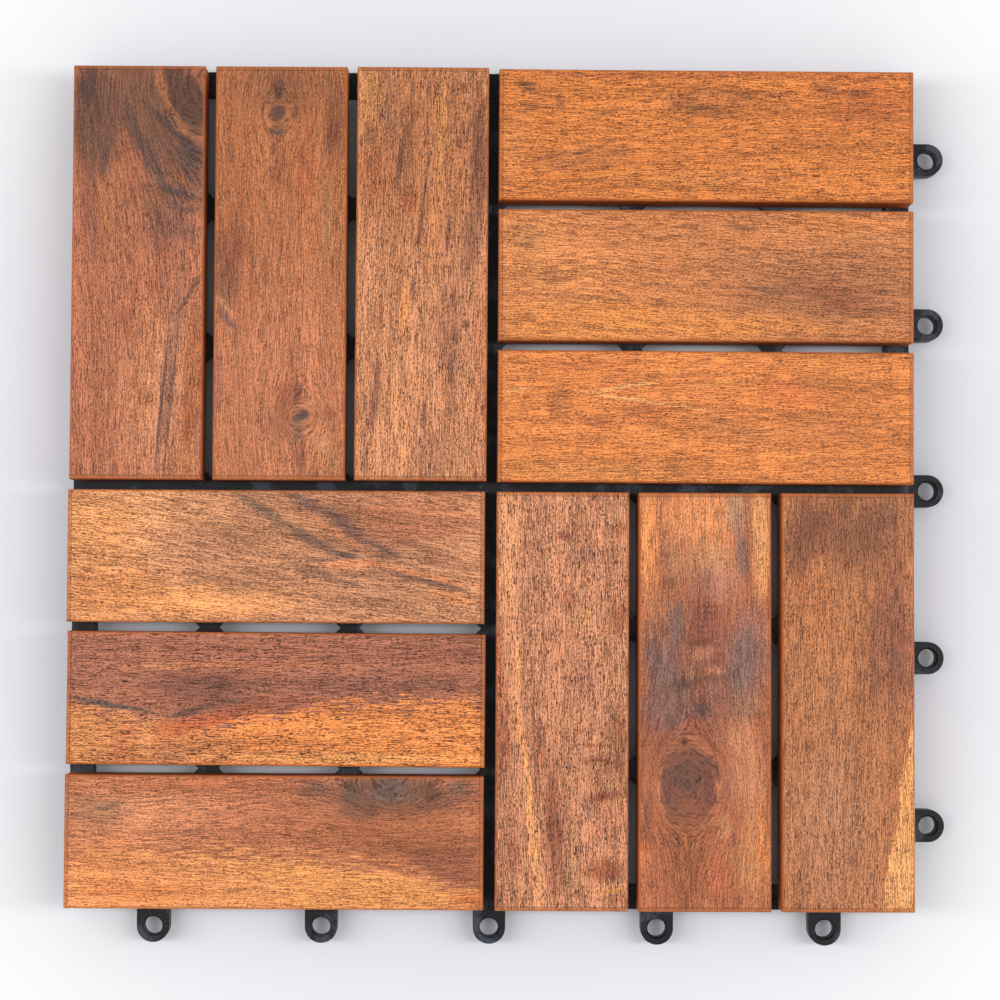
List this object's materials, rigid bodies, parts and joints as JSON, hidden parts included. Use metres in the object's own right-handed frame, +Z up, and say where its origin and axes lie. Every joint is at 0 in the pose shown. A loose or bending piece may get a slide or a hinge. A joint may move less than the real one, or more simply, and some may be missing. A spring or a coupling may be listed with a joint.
{
  "type": "interlocking deck tile",
  "caption": "Square floor tile of wooden slats laid in four quarters on a moulded plastic lattice base, with joining loops on two sides and pegs under the other two.",
  "frame": {"origin": "centre of the tile's square body on the ground, under the middle foot", "axes": "+Z up through the walking surface, +X towards the side with loops on the right, -Y towards the front side with loops"},
  "size_m": [0.3126, 0.3125, 0.024],
  "materials": {
    "base_plastic": "satin",
    "wood_back_left_1": "oiled",
    "wood_back_left_2": "oiled",
    "wood_back_left_3": "oiled",
    "wood_back_right_1": "oiled",
    "wood_back_right_2": "oiled",
    "wood_back_right_3": "oiled",
    "wood_front_left_1": "oiled",
    "wood_front_left_2": "oiled",
    "wood_front_left_3": "oiled",
    "wood_front_right_1": "oiled",
    "wood_front_right_2": "oiled",
    "wood_front_right_3": "oiled",
    "screw_steel": "plain"
  },
  "bodies": {
    "root": {"base_grid": "base_plastic", "slat_back_left_1": "wood_back_left_1", "slat_back_left_2": "wood_back_left_2", "slat_back_left_3": "wood_back_left_3", "slat_back_right_1": "wood_back_right_1", "slat_back_right_2": "wood_back_right_2", "slat_back_right_3": "wood_back_right_3", "slat_front_left_1": "wood_front_left_1", "slat_front_left_2": "wood_front_left_2", "slat_front_left_3": "wood_front_left_3", "slat_front_right_1": "wood_front_right_1", "slat_front_right_2": "wood_front_right_2", "slat_front_right_3": "wood_front_right_3", "screws": "screw_steel"}
  },
  "joints": []
}
